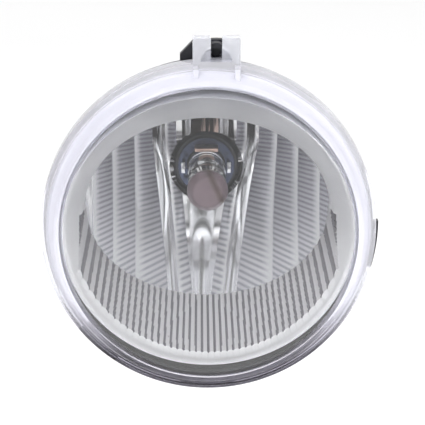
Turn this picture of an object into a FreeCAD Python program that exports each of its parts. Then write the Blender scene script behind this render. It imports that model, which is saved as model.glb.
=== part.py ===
"""Round automotive fog light, 96 mm across, for a capped twist-lock bulb.

The lamp faces -Y with +Z up. The origin is the centre of the pivot bore under the housing.
Depths are counted along +Y from the front tip of the domed lens.
"""
import FreeCAD, Part
import math
import os
import Sketcher

# Driving dimensions, in millimetres and degrees, as they stand in the spreadsheet.
SIZES = {
    # where the lamp's axis and lens tip lie, from the pivot bore
    "axis_height": 49.0,
    "front_place": -42.0,
    "bulb_raise": 5.5,
    # lens: radii and depths of its stepped rim
    "dome_radius": 191.0,
    "dome_edge_r": 43.0,
    "dome_edge_depth": 4.9,
    "rim_r": 44.1,
    "rim_depth": 6.0,
    "cone_r": 45.6,
    "step_depth": 9.2,
    "step_r": 46.5,
    "flange_depth": 11.8,
    "flange_r": 48.0,
    "skirt_end_depth": 18.4,
    "skirt_inner_r": 45.4,
    "throat_inner_r": 44.2,
    "throat_depth": 12.4,
    "neck_inner_r": 42.7,
    "neck_depth": 8.2,
    "face_inner_r": 41.9,
    "face_edge_depth": 7.1,
    "face_back_depth": 2.4,
    "face_inner_radius": 189.0,
    # tool guide on top of the lens
    "guide_offset": 2.3,
    "guide_width": 13.5,
    "guide_top": 54.9,
    "guide_length": 6.4,
    "guide_slot": 3.2,
    "guide_root": 1.6,
    "arch_r": 4.4,
    "arch_deep": 3.4,
    "arch_height": 48.2,
    "rail_width": 1.7,
    "rail_spread": 5.9,
    "rail_top": 47.3,
    "rail_start_depth": 7.2,
    "rail_root": 0.6,
    # bezel: a funnel from a wide lip to an oval opening
    "bezel_wall": 1.6,
    "lip_wall": 0.4,
    "plate_gap": 0.8,
    "plate_inset": 1.0,
    "lip_depth": 8.0,
    "lip_half_width": 41.3,
    "lip_half_height": 38.6,
    "waist_depth": 13.2,
    "waist_half_width": 39.7,
    "waist_half_height": 38.3,
    "mouth_depth": 36.0,
    "mouth_half_width": 35.9,
    "mouth_half_height": 26.9,
    # reflector: a paraboloid about the bulb's axis inside an oval wall
    "reflector_wall": 1.6,
    "reflector_front": 37.2,
    "reflector_half_width": 37.4,
    "reflector_half_height": 31.0,
    "reflector_drop": 0.5,
    "vertex_depth": 68.8,
    "parabola_gain": 44.2,
    "parabola_reach": 46.0,
    "bowl_bar_length": 40.0,
    "bulb_hole_r": 11.1,
    "bulb_hole_length": 20.0,
    "bulb_hole_start": 12.0,
    "flange_plate": 1.8,
    "flange_half_width": 40.6,
    "flange_half_height": 36.0,
    # fixing screws inside the housing
    "lug_r": 2.6,
    "lug_circle_r": 39.1,
    "lug_hole_r": 1.5,
    "screw_r": 1.35,
    "screw_head_r": 2.4,
    "screw_head_height": 1.6,
    "screw_grip": 5.2,
    "boss_hole_length": 6.0,
    "boss_length": 15.0,
    # housing: a bucket that narrows to the bulb collar
    "housing_wall": 2.2,
    "seat_depth": 19.0,
    "seat_thick": 3.0,
    "seat_outer_r": 47.4,
    "seat_inner_r": 44.2,
    "bucket_r": 46.4,
    "shoulder_r": 43.6,
    "shoulder_depth": 42.0,
    "hip_r": 35.0,
    "hip_depth": 56.0,
    "back_r": 24.0,
    "back_depth": 69.0,
    "back_thick": 2.4,
    "stop_rib_r": 49.1,
    # bulb collar with its bayonet ledges
    "collar_r": 15.5,
    "collar_bore_r": 10.6,
    "collar_bore_length": 12.0,
    "collar_root": 1.0,
    "collar_room_r": 13.2,
    "collar_room_depth": 73.4,
    "collar_end_depth": 78.6,
    "ledge_thick": 1.8,
    "ledge_inner_r": 11.2,
    "ledge_sweep": 60.0,
    # aim tower with its cheeks, and the aim screw
    "tower_front_depth": 22.8,
    "tower_length": 2.6,
    "tower_base_half": 8.0,
    "tower_top_half": 3.9,
    "tower_top": 52.7,
    "cheek_gap": 3.8,
    "cheek_thick": 1.4,
    "cheek_length": 13.0,
    "cheek_top": 50.2,
    "aim_height": 49.4,
    "aim_bore_r": 1.8,
    "aim_screw_r": 1.75,
    "aim_head_r": 3.0,
    "aim_head_length": 3.3,
    "aim_head_gap": 0.3,
    "aim_recess_r": 1.4,
    "aim_recess_deep": 2.2,
    "aim_screw_end_depth": 40.5,
    "head_notch": 3.6,
    "notch_spare": 3.0,
    "retainer_r": 3.2,
    "retainer_thick": 0.8,
    "nut_width": 7.0,
    "nut_length": 4.4,
    "nut_tall": 6.0,
    "nut_depth": 29.3,
    "nut_bore_r": 1.8,
    # pivot lug, with its bushing
    "pivot_lug_r": 6.2,
    "pivot_lug_length": 15.0,
    "pivot_seat_r": 4.0,
    "bushing_r": 3.95,
    "bushing_bore_r": 2.6,
    "bushing_length": 16.6,
    "bushing_flange_r": 5.0,
    "bushing_flange_thick": 0.8,
    # vent
    "vent_side": -17.0,
    "vent_drop": -13.0,
    "vent_tube_r": 4.0,
    "vent_bore_r": 2.2,
    "vent_bore_length": 20.0,
    "vent_start_depth": 65.0,
    "vent_end_depth": 76.0,
    "vent_cap_r": 5.8,
    "vent_cap_start_depth": 71.7,
    "vent_cap_end_depth": 79.4,
    "vent_cap_bore_r": 4.05,
    "membrane_thick": 0.9,
    # bulb
    "glass_r": 5.75,
    "glass_wall": 0.9,
    "glass_tip_depth": 32.0,
    "glass_shoulder_depth": 34.2,
    "glass_end_depth": 67.6,
    "pinch_depth": 61.5,
    "cap_skin": 0.25,
    "cap_back_depth": 35.4,
    "filament_r": 0.8,
    "filament_length": 5.5,
    "filament_depth": 53.0,
    "wire_r": 0.4,
    "wire_spread": 2.6,
    "holder_r": 8.6,
    "holder_inner_r": 5.9,
    "holder_depth": 65.6,
    "holder_thick": 2.0,
    "prong_spread": 6.9,
    "prong_length": 6.5,
    "prong_width": 1.6,
    "prong_thick": 0.8,
    "strap_width": 7.0,
    "strap_length": 7.0,
    "strap_height": 6.1,
    "strap_thick": 0.5,
    # twist-lock base with its connector shroud
    "shank_front_depth": 67.6,
    "shank_r": 10.52,
    "shank_end_depth": 73.3,
    "core_r": 9.8,
    "tab_r": 12.7,
    "tab_depth": 74.0,
    "tab_thick": 2.2,
    "tab_sweep": 30.0,
    "base_flange_depth": 80.2,
    "base_flange_r": 16.0,
    "base_flange_thick": 2.2,
    "shroud_width": 24.0,
    "shroud_height": 16.0,
    "shroud_length": 20.0,
    "shroud_wall": 1.8,
    "shroud_floor": 3.0,
    "grip_thick": 2.0,
    "grip_length": 12.0,
    "grip_reach": 15.0,
    "grip_tall": 4.0,
    "latch_width": 6.0,
    "latch_length": 5.0,
    "latch_tall": 1.4,
    "latch_setback": 11.0,
    "blade_width": 2.8,
    "blade_thick": 0.8,
    "blade_spacing": 8.0,
    "blade_reach": 9.0,
    "oring_ring_r": 13.4,
    "oring_section_r": 0.7,
}

TAB_ANGLES = (15.0, 135.0, 255.0)
LEDGE_ANGLES = (0.0, 120.0, 240.0)
REFLECTOR_SCREW_ANGLES = (45.0, 225.0)
BEZEL_SCREW_ANGLES = (135.0, 315.0)
ALL_SCREW_ANGLES = BEZEL_SCREW_ANGLES + REFLECTOR_SCREW_ANGLES
STOP_RIB_ANGLES = (-8.0, 229.0)
STOP_RIB_SWEEP = "16"
BOWL_STEPS = 12

doc = FreeCAD.newDocument("FogLight")
sheet = doc.addObject("Spreadsheet::Sheet", "Sizes")
for row, (alias, number) in enumerate(SIZES.items(), start=1):
    sheet.set("A%d" % row, alias.replace("_", " "))
    sheet.set("B%d" % row, str(number))
    sheet.setAlias("B%d" % row, alias)
doc.recompute()

ABOUT_Y = FreeCAD.Rotation(FreeCAD.Vector(1, 0, 0), -90)


# ---------------------------------------------------------------- helpers

def measure(text):
    """Value of a sum such as "rim_r - lens_wall", with its names taken from the sheet."""
    total = 0.0
    sign = 1.0
    for word in text.split():
        if word == "+":
            sign = 1.0
        elif word == "-":
            sign = -1.0
        elif word in SIZES:
            total += sign * sheet.get(word)
            sign = 1.0
        else:
            total += sign * float(word)
            sign = 1.0
    return total


def formula(text):
    """The same sum as an expression that reads the sheet."""
    return " ".join("Sizes." + word if word in SIZES else word for word in text.split())


def bind(thing, **properties):
    """Ties properties of an object to the sheet."""
    for name, text in properties.items():
        thing.setExpression(name, formula(text))
    return thing


def place(thing, x="0", depth="0", height="0"):
    """Puts an object at a side offset, a depth behind the lens tip and a height off the axis."""
    thing.setExpression(".Placement.Base.x", formula(x))
    thing.setExpression(".Placement.Base.y", formula("front_place + " + depth))
    thing.setExpression(".Placement.Base.z", formula("axis_height + " + height))
    return thing


def plane_of(body, role):
    """The body's own origin plane with this role."""
    for feature in body.Origin.OriginFeatures:
        if feature.Role == role:
            return feature
    raise ValueError("no plane " + role)


def turned(name, corners, height="0", x="0", arcs=None):
    """A body turned about the lamp's Y direction from corners of (radius, depth)."""
    body = doc.addObject("PartDesign::Body", name)
    sketch = body.newObject("Sketcher::SketchObject", name + "_outline")
    sketch.AttachmentSupport = [(plane_of(body, "XY_Plane"), "")]
    sketch.MapMode = "FlatFace"
    points = [FreeCAD.Vector(measure(r), measure(d), 0) for r, d in corners]
    count = len(points)
    for index, start in enumerate(points):
        end = points[(index + 1) % count]
        if arcs and index in arcs:
            radius = measure(arcs[index])
            middle = (start + end) * 0.5
            chord = (end - start).Length
            reach = math.sqrt(radius * radius - chord * chord / 4)
            across = FreeCAD.Vector(0, 0, 1).cross(end - start).normalize()
            if across.y < 0:
                across = across * -1
            centre = middle + across * reach
            angles = sorted(math.atan2(p.y - centre.y, p.x - centre.x) for p in (start, end))
            circle = Part.Circle(centre, FreeCAD.Vector(0, 0, 1), radius)
            sketch.addGeometry(Part.ArcOfCircle(circle, *angles), False)
        else:
            sketch.addGeometry(Part.LineSegment(start, end), False)
    for index, (radius, depth) in enumerate(corners):
        shape = sketch.Geometry[index]
        first = 1 if shape.StartPoint.distanceToPoint(points[index]) < 1e-6 else 2
        if radius == "0":
            sketch.addConstraint(Sketcher.Constraint("PointOnObject", index, first, -2))
        else:
            at = sketch.addConstraint(Sketcher.Constraint(
                "DistanceX", -1, 1, index, first, measure(radius)))
            sketch.setExpression("Constraints[%d]" % at, formula(radius))
        if measure(depth) == 0:
            sketch.addConstraint(Sketcher.Constraint("PointOnObject", index, first, -1))
        else:
            at = sketch.addConstraint(Sketcher.Constraint(
                "DistanceY", -1, 1, index, first, measure(depth)))
            sketch.setExpression("Constraints[%d]" % at, formula(depth))
    for index in range(count):
        after = (index + 1) % count
        end = points[after]
        last = 2 if sketch.Geometry[index].EndPoint.distanceToPoint(end) < 1e-6 else 1
        opens = 1 if sketch.Geometry[after].StartPoint.distanceToPoint(end) < 1e-6 else 2
        sketch.addConstraint(Sketcher.Constraint("Coincident", index, last, after, opens))
    for index, radius in (arcs or {}).items():
        at = sketch.addConstraint(Sketcher.Constraint("Radius", index, measure(radius)))
        sketch.setExpression("Constraints[%d]" % at, formula(radius))
    turn = body.newObject("PartDesign::Revolution", name + "_turn")
    turn.Profile = sketch
    turn.ReferenceAxis = (sketch, ["V_Axis"])
    turn.Angle = 360
    body.Tip = turn
    doc.recompute()
    return place(body, x=x, height=height)


def box(name, width, length, tall, x, depth, height):
    """A box, given by its corner of least x, depth and height."""
    block = doc.addObject("Part::Box", name)
    bind(block, Width=length, Length=width, Height=tall)
    return place(block, x, depth, height)


def rod(name, radius, length, x="0", depth="0", height="0"):
    """A cylinder along +Y that starts at this depth."""
    bar = doc.addObject("Part::Cylinder", name)
    bind(bar, Radius=radius, Height=length)
    bar.Placement = FreeCAD.Placement(FreeCAD.Vector(), ABOUT_Y)
    return place(bar, x, depth, height)


def chain(kind, name, base, tools):
    """Applies one boolean to the base and each tool in turn."""
    for index, tool in enumerate(tools):
        last = index == len(tools) - 1
        result = doc.addObject(kind, name if last else "%s_step_%d" % (name, index))
        result.Base = base
        result.Tool = tool
        result.Refine = False
        base = result
    return base


def cut(name, base, *tools):
    """The base with tools taken away one after another."""
    return chain("Part::Cut", name, base, tools)


def fuse(name, base, *others):
    """Several shapes as one solid."""
    return chain("Part::Fuse", name, base, others)


def common(name, first, second):
    """What two shapes share."""
    result = doc.addObject("Part::Common", name)
    result.Base = first
    result.Tool = second
    return result


def group(name, pieces):
    """Separate solids that are one kind of fastener."""
    result = doc.addObject("Part::Compound", name)
    result.Links = pieces
    return result


def oval(name, half_width, half_height, depth, height="0"):
    """An ellipse that faces -Y at this depth."""
    ring = doc.addObject("Part::Ellipse", name)
    bind(ring, MajorRadius=half_width, MinorRadius=half_height)
    ring.Placement = FreeCAD.Placement(FreeCAD.Vector(), ABOUT_Y)
    return place(ring, "0", depth, height)


def loft(name, rings):
    """A straight-sided solid through a row of ovals."""
    solid = doc.addObject("Part::Loft", name)
    solid.Sections = rings
    solid.Solid = True
    solid.Ruled = True
    return solid


def oval_rod(name, half_width, half_height, depth, length, height="0"):
    """An oval bar along +Y."""
    face = oval(name + "_oval", half_width, half_height, depth, height)
    bar = doc.addObject("Part::Extrusion", name)
    bar.Base = face
    bar.DirMode = "Custom"
    bar.Dir = FreeCAD.Vector(0, 1, 0)
    bind(bar, LengthFwd=length)
    bar.Solid = True
    return bar


def wedge_ring(name, outer, inner, depth, thick, middle_angle, sweep, height="0"):
    """A part-ring about Y: middle_angle is counted from +X towards +Z."""
    disc = doc.addObject("Part::Cylinder", name + "_disc")
    bind(disc, Radius=outer, Height=thick)
    disc.Angle = measure(sweep)
    spin = FreeCAD.Rotation(FreeCAD.Vector(0, 0, 1), -middle_angle - measure(sweep) / 2)
    disc.Placement = FreeCAD.Placement(FreeCAD.Vector(), ABOUT_Y.multiply(spin))
    place(disc, "0", depth, height)
    hole = rod(name + "_hole", inner, thick, "0", depth, height)
    return cut(name, disc, hole)


def half(text):
    """Half of a sum, as a number in text."""
    return "%g" % (measure(text) / 2)


def fixing_rods(name, angles, radius, length, depth):
    """One rod along +Y at each fixing point, at these angles from +X."""
    reach = measure("lug_circle_r")
    rods = []
    for angle in angles:
        side = "%.4f" % (reach * math.cos(math.radians(angle)))
        height = "%.4f" % (reach * math.sin(math.radians(angle)))
        rods.append(rod("%s_%d" % (name, angle), radius, length, side, depth, height))
    return rods


def across(name, radius, length):
    """A cylinder along X with its middle on the pivot."""
    bar = doc.addObject("Part::Cylinder", name)
    bind(bar, Radius=radius, Height=length)
    turn = FreeCAD.Rotation(FreeCAD.Vector(0, 1, 0), 90)
    bar.Placement = FreeCAD.Placement(FreeCAD.Vector(), turn)
    bar.setExpression(".Placement.Base.x", "-(" + formula(length) + ") / 2")
    return bar


# ---------------------------------------------------------------- lens

def make_lens():
    """Clear domed lens with a stepped rim, two rails and the slotted tool guide on top."""
    shell = turned("lens_shell", [
        ("0", "0"),
        ("dome_edge_r", "dome_edge_depth"),
        ("rim_r", "rim_depth"),
        ("cone_r", "step_depth"),
        ("step_r", "step_depth"),
        ("step_r", "flange_depth"),
        ("flange_r", "flange_depth"),
        ("flange_r", "skirt_end_depth"),
        ("skirt_inner_r", "skirt_end_depth"),
        ("throat_inner_r", "throat_depth"),
        ("neck_inner_r", "neck_depth"),
        ("face_inner_r", "face_edge_depth"),
        ("0", "face_back_depth"),
    ], arcs={0: "dome_radius", 11: "face_inner_radius"})
    left = "guide_offset - " + half("guide_width")
    block = box("guide_block", "guide_width", "guide_length", "guide_top - flange_r + guide_root",
                left, "flange_depth", "flange_r - guide_root")
    arch = rod("guide_arch", "arch_r", "arch_deep", "guide_offset", "flange_depth", "arch_height")
    arch_floor = box("arch_floor", "guide_width", "arch_deep", "arch_r", left, "flange_depth",
                     "flange_r - arch_r")
    recess = cut("guide_recess", arch, arch_floor)
    slot = box("guide_slot_cut", "guide_slot", "guide_length", "guide_top - arch_height",
               "guide_offset - " + half("guide_slot"), "flange_depth", "arch_height")
    guide = cut("tool_guide", block, recess, slot)
    rails = []
    for side in (-1, 1):
        offset = measure("rail_spread") * side - measure("rail_width") / 2
        rails.append(box("rail_%d" % (side + 2), "rail_width", "flange_depth - rail_start_depth",
                         "rail_top - rim_r + rail_root", "guide_offset + %g" % offset,
                         "rail_start_depth", "rim_r - rail_root"))
    return fuse("lens", shell, guide, *rails)


def make_lens_seal():
    """Flat ring that seals the lens to the housing."""
    return turned("lens_seal", [
        ("skirt_inner_r + 0.3", "skirt_end_depth"),
        ("seat_outer_r - 0.1", "skirt_end_depth"),
        ("seat_outer_r - 0.1", "seat_depth"),
        ("skirt_inner_r + 0.3", "seat_depth"),
    ])


# ---------------------------------------------------------------- bezel and reflector

def make_bezel():
    """Satin funnel from the wide lip to the oval mouth, with two lugs on its mouth flange."""
    inside = []
    outside = []
    for station, wall in (("lip", "lip_wall"), ("waist", "bezel_wall"), ("mouth", "bezel_wall")):
        wide = station + "_half_width"
        tall = station + "_half_height"
        depth = station + "_depth"
        inside.append(oval("bezel_in_" + station, wide, tall, depth))
        outside.append(oval("bezel_out_" + station, wide + " + " + wall, tall + " + " + wall,
                            depth))
    shell = cut("bezel_shell", loft("bezel_outer", outside), loft("bezel_inner", inside))
    front = "reflector_front - flange_plate"
    plate = oval_rod("bezel_plate", "flange_half_width - plate_inset",
                     "flange_half_height - plate_inset", front, "flange_plate")
    opening = oval_rod("bezel_plate_opening", "mouth_half_width + plate_gap",
                       "mouth_half_height + plate_gap", front, "flange_plate")
    lugs = fixing_rods("bezel_lug", BEZEL_SCREW_ANGLES, "lug_r", "flange_plate", front)
    holes = fixing_rods("bezel_hole", BEZEL_SCREW_ANGLES, "lug_hole_r", "flange_plate", front)
    notches = fixing_rods("bezel_notch", REFLECTOR_SCREW_ANGLES, "lug_r", "flange_plate", front)
    skirt = cut("bezel_skirt", fuse("bezel_skirt_blank", plate, *lugs), opening, *holes, *notches)
    return fuse("bezel", shell, skirt)


def make_reflector():
    """Deep bowl: a paraboloid about the bulb inside an oval wall, with a screwed flange."""
    front = "reflector_front"
    bowls = {}
    for name, grow in (("inner", 0.0), ("outer", measure("reflector_wall"))):
        corners = []
        for index in range(BOWL_STEPS + 1):
            radius = measure("parabola_reach") * index / BOWL_STEPS
            depth = measure("vertex_depth") - radius * radius / measure("parabola_gain") + grow
            corners.append(FreeCAD.Vector(radius, depth, 0))
        curve = Part.BSplineCurve()
        curve.interpolate(corners)
        low = corners[-1].y
        edges = [curve.toShape(),
                 Part.makeLine(corners[-1], FreeCAD.Vector(0, low, 0)),
                 Part.makeLine(FreeCAD.Vector(0, low, 0), corners[0])]
        face = Part.Face(Part.Wire(edges))
        bowl = doc.addObject("Part::Feature", "bowl_" + name)
        bowl.Shape = face.revolve(FreeCAD.Vector(0, 0, 0), FreeCAD.Vector(0, 1, 0), 360)
        bowls[name] = place(bowl, height="bulb_raise")
    drop = "0 - reflector_drop"
    outer_bar = oval_rod("reflector_bar", "reflector_half_width + reflector_wall",
                         "reflector_half_height + reflector_wall", front, "bowl_bar_length",
                         drop)
    inner_bar = oval_rod("reflector_room", "reflector_half_width", "reflector_half_height",
                         front, "bowl_bar_length", drop)
    bowl = cut("reflector_bowl", common("bowl_block", bowls["outer"], outer_bar),
               common("bowl_room", bowls["inner"], inner_bar))
    plate = oval_rod("reflector_plate", "flange_half_width", "flange_half_height",
                     front, "flange_plate")
    opening = oval_rod("reflector_opening", "reflector_half_width", "reflector_half_height",
                       front, "flange_plate", drop)
    lugs = fixing_rods("reflector_lug", ALL_SCREW_ANGLES, "lug_r", "flange_plate", front)
    holes = fixing_rods("reflector_hole", ALL_SCREW_ANGLES, "lug_hole_r", "flange_plate", front)
    bulb_hole = rod("bulb_hole", "bulb_hole_r", "bulb_hole_length", "0",
                    "vertex_depth - bulb_hole_start", "bulb_raise")
    rim = cut("reflector_rim", fuse("rim_blank", plate, *lugs), opening)
    return cut("reflector", fuse("reflector_blank", bowl, rim), bulb_hole, *holes)


def make_screws(name, angles, head_depth, plates):
    """Pan-head screws along +Y that clamp this many plates, with heads at this depth."""
    length = "flange_plate + " * plates + "screw_grip"
    heads = fixing_rods(name + "_head", angles, "screw_head_r", "screw_head_height",
                        head_depth + " - screw_head_height")
    shanks = fixing_rods(name + "_shank", angles, "screw_r", length, head_depth)
    return group(name, [fuse("%s_%d" % (name, angle), head, shank)
                        for angle, head, shank in zip(angles, heads, shanks)])


# ---------------------------------------------------------------- housing

def make_housing():
    """Black bucket with the bulb collar, aim tower, pivot lug, vent tube and screw bosses."""
    outline = [("bucket_r", "seat_depth + seat_thick"), ("shoulder_r", "shoulder_depth"),
               ("hip_r", "hip_depth"), ("back_r", "back_depth")]
    back_end = "back_depth + back_thick"
    bucket = turned("bucket", [
        ("seat_inner_r", "seat_depth"),
        ("seat_outer_r", "seat_depth"),
        ("seat_outer_r", "seat_depth + seat_thick"),
    ] + outline + [
        ("back_r - 2", back_end),
        ("0", back_end),
        ("0", "back_depth"),
        ("back_r - housing_wall", "back_depth - 0.6"),
        ("hip_r - housing_wall", "hip_depth - 0.6"),
        ("shoulder_r - housing_wall", "shoulder_depth - 0.4"),
        ("seat_inner_r", "seat_depth + seat_thick + 1"),
    ])
    collar = rod("collar", "collar_r", "collar_end_depth - back_depth - collar_root", "0",
                 "back_depth + collar_root", "bulb_raise")
    ribs = [wedge_ring("stop_rib_%d" % index, "stop_rib_r", "seat_inner_r", "seat_depth",
                       "seat_thick", angle, STOP_RIB_SWEEP)
            for index, angle in enumerate(STOP_RIB_ANGLES)]
    tower = make_tower()
    lug = across("pivot_lug", "pivot_lug_r", "pivot_lug_length")
    web = box("pivot_web", "pivot_lug_length", "pivot_lug_r + pivot_lug_r",
              "axis_height - shoulder_r + 2.6", "0 - " + half("pivot_lug_length"),
              "0 - front_place - pivot_lug_r", "0 - axis_height")
    vent = rod("vent_tube", "vent_tube_r", "vent_end_depth - vent_start_depth", "vent_side",
               "vent_start_depth", "vent_drop")
    boss_front = "reflector_front + flange_plate"
    bosses = fixing_rods("boss", ALL_SCREW_ANGLES, "lug_r", "boss_length", boss_front)
    boss_holes = fixing_rods("boss_hole", ALL_SCREW_ANGLES, "lug_hole_r", "boss_hole_length",
                             boss_front)
    envelope = turned("housing_envelope", [("0", "seat_depth")] + [
        ("bucket_r", "seat_depth")] + outline + [("0", "back_depth")])
    kept_bosses = common("bosses", fuse("boss_rods", *bosses), envelope)
    solid = fuse("housing_solid", bucket, collar, tower, lug, web, vent, kept_bosses, *ribs)
    bore = rod("collar_bore", "collar_bore_r", "collar_bore_length", "0", "back_depth - 4",
               "bulb_raise")
    room = rod("collar_room", "collar_room_r", "collar_end_depth - collar_room_depth", "0",
               "collar_room_depth", "bulb_raise")
    pivot_seat = across("pivot_seat", "pivot_seat_r", "pivot_lug_length + 2")
    aim_bore = rod("aim_bore", "aim_bore_r", "tower_length + 2", "guide_offset",
                   "tower_front_depth - 1", "aim_height")
    notch = box("head_notch_cut", "head_notch + head_notch", "tower_front_depth - seat_depth",
                "flange_r - aim_height + head_notch + notch_spare", "guide_offset - head_notch",
                "seat_depth", "aim_height - head_notch")
    vent_bore = rod("vent_bore", "vent_bore_r", "vent_bore_length", "vent_side",
                    "vent_start_depth - 4", "vent_drop")
    inside_trim = turned("inside_trim", [
        ("0", "seat_depth"),
        ("seat_inner_r", "seat_depth"),
        ("seat_inner_r", "seat_depth + seat_thick + 1"),
        ("shoulder_r - housing_wall", "shoulder_depth - 0.4"),
        ("0", "shoulder_depth - 0.4"),
    ])
    bored = cut("housing_bored", solid, bore, room, pivot_seat, aim_bore, vent_bore, notch)
    kept = cut("bosses_bored", kept_bosses, *boss_holes)
    hollow = cut("housing_hollow", bored, inside_trim, *boss_holes)
    ledges = []
    for index, angle in enumerate(LEDGE_ANGLES):
        ledges.append(wedge_ring("ledge_%d" % index, "collar_room_r + 0.6", "ledge_inner_r",
                                 "collar_end_depth - ledge_thick", "ledge_thick", angle,
                                 "ledge_sweep", "bulb_raise"))
    return fuse("housing", hollow, kept, *ledges)


def make_tower():
    """Tapered plate over the rim that carries the aim screw, with two cheeks behind it."""
    foot = measure("seat_inner_r")
    shoulder = measure("flange_r") + 0.4
    wide = measure("tower_base_half")
    narrow = measure("tower_top_half")
    top = measure("tower_top")
    face = [(-wide, foot), (wide, foot), (wide, shoulder), (narrow, top), (-narrow, top),
            (-wide, shoulder)]
    front = measure("front_place") + measure("tower_front_depth")
    lift = measure("axis_height")
    corners = [FreeCAD.Vector(x, front, lift + z) for x, z in face]
    outline = Part.makePolygon(corners + corners[:1])
    plate = doc.addObject("Part::Feature", "tower_plate")
    plate.Shape = Part.Face(outline).extrude(FreeCAD.Vector(0, measure("tower_length"), 0))
    cheeks = []
    for side, left in ((1, "guide_offset + cheek_gap"),
                       (2, "guide_offset - cheek_gap - cheek_thick")):
        cheeks.append(box("cheek_%d" % side, "cheek_thick", "cheek_length",
                          "cheek_top - shoulder_r", left, "tower_front_depth + 1", "shoulder_r"))
    return fuse("tower", plate, *cheeks)


# ---------------------------------------------------------------- aim screw and pivot

def make_aim_parts():
    """Screw with its head behind the tool guide, push-on retainer, and the nylon nut."""
    head_back = "tower_front_depth - aim_head_gap"
    head = rod("aim_head", "aim_head_r", "aim_head_length", "guide_offset",
               head_back + " - aim_head_length", "aim_height")
    shank = rod("aim_shank", "aim_screw_r",
                "aim_screw_end_depth - tower_front_depth + aim_head_gap", "guide_offset",
                head_back, "aim_height")
    recess = rod("aim_recess", "aim_recess_r", "aim_recess_deep", "guide_offset",
                 head_back + " - aim_head_length", "aim_height")
    screw = cut("aim_screw", fuse("aim_screw_blank", head, shank), recess)
    clip_depth = "tower_front_depth + tower_length + aim_head_gap"
    disc = rod("retainer_disc", "retainer_r", "retainer_thick", "guide_offset", clip_depth,
               "aim_height")
    eye = rod("retainer_eye", "aim_screw_r", "retainer_thick", "guide_offset", clip_depth,
              "aim_height")
    retainer = cut("aim_retainer", disc, eye)
    block = box("nut_block", "nut_width", "nut_length", "nut_tall",
                "guide_offset - " + half("nut_width"), "nut_depth",
                "aim_height - " + half("nut_tall"))
    bore = rod("nut_bore", "nut_bore_r", "nut_length", "guide_offset", "nut_depth", "aim_height")
    nut = cut("aim_nut", block, bore)
    return [screw, retainer, nut]


def make_pivot_bushing():
    """Flanged nylon bushing through the pivot lug, bored for the bracket's pivot pin."""
    barrel = across("bushing_barrel", "bushing_r", "bushing_length")
    flange = across("bushing_flange", "bushing_flange_r", "bushing_flange_thick")
    flange.setExpression(".Placement.Base.x", "-Sizes.bushing_length / 2")
    bore = across("bushing_bore", "bushing_bore_r", "bushing_length")
    return cut("pivot_bushing", fuse("bushing_blank", barrel, flange), bore)


# ---------------------------------------------------------------- vent

def make_vent_parts():
    """Rubber cap over the vent tube, and the membrane on the tube's end."""
    cap = turned("vent_cap", [
        ("vent_cap_bore_r", "vent_cap_start_depth"),
        ("vent_cap_r", "vent_cap_start_depth"),
        ("vent_cap_r", "vent_cap_end_depth - 1"),
        ("vent_cap_r - 1", "vent_cap_end_depth"),
        ("0", "vent_cap_end_depth"),
        ("0", "vent_end_depth + membrane_thick + 0.3"),
        ("vent_cap_bore_r", "vent_end_depth + membrane_thick + 0.3"),
    ], x="vent_side", height="vent_drop")
    membrane = rod("vent_membrane", "vent_tube_r - 0.3", "membrane_thick", "vent_side",
                   "vent_end_depth", "vent_drop")
    return [cap, membrane]


# ---------------------------------------------------------------- bulb

def make_bulb_glass():
    """Glass tube, closed and rounded in front, solid where the wires are pinched in."""
    bore = "glass_r - glass_wall"
    return turned("bulb_glass", [
        ("0", "glass_tip_depth"),
        ("glass_r - 1.4", "glass_tip_depth"),
        ("glass_r", "glass_shoulder_depth"),
        ("glass_r", "glass_end_depth"),
        ("0", "glass_end_depth"),
        ("0", "pinch_depth"),
        (bore, "pinch_depth"),
        (bore, "glass_shoulder_depth"),
        (bore + " - 1.2", "glass_tip_depth + glass_wall"),
        ("0", "glass_tip_depth + glass_wall"),
    ], height="bulb_raise")


def make_bulb_cap():
    """Dark anti-glare cap over the tip of the glass."""
    skin = "cap_skin"
    return turned("bulb_cap", [
        ("0", "glass_tip_depth - cap_skin"),
        ("glass_r - 1.4", "glass_tip_depth - cap_skin"),
        ("glass_r + " + skin, "glass_shoulder_depth"),
        ("glass_r + " + skin, "cap_back_depth"),
        ("glass_r", "cap_back_depth"),
        ("glass_r", "glass_shoulder_depth"),
        ("glass_r - 1.4", "glass_tip_depth"),
        ("0", "glass_tip_depth"),
    ], height="bulb_raise")


def make_filament_and_wires():
    """Filament coil as its outer cylinder, and the two wires that carry it."""
    filament = rod("bulb_filament", "filament_r", "filament_length", "0", "filament_depth",
                   "bulb_raise")
    wires = []
    for side in (-1, 1):
        reach = measure("wire_spread") * side
        wire = rod("lead_wire_%d" % (side + 2), "wire_r", "pinch_depth - filament_depth",
                   "%g" % reach, "filament_depth", "bulb_raise")
        wires.append(wire)
    return [filament, group("bulb_lead_wires", wires)]


def make_bulb_holder():
    """Sheet-metal ring that grips the glass, with two side prongs and a strap above."""
    ring = turned("holder_ring", [
        ("holder_inner_r", "holder_depth"),
        ("holder_r", "holder_depth"),
        ("holder_r", "holder_depth + holder_thick"),
        ("holder_inner_r", "holder_depth + holder_thick"),
    ], height="bulb_raise")
    prongs = []
    for side in (-1, 1):
        left = measure("prong_spread") * side - measure("prong_thick") / 2
        prongs.append(box("prong_%d" % (side + 2), "prong_thick", "prong_length", "prong_width",
                          "%g" % left, "holder_depth - prong_length + 0.5",
                          "bulb_raise - " + half("prong_width")))
    return fuse("bulb_holder", ring, *prongs)


def make_bulb_strap():
    """Copper spring strap over the glass."""
    return box("bulb_strap", "strap_width", "strap_length", "strap_thick",
               "0 - " + half("strap_width"),
               "holder_depth - strap_length", "bulb_raise + strap_height")


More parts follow.
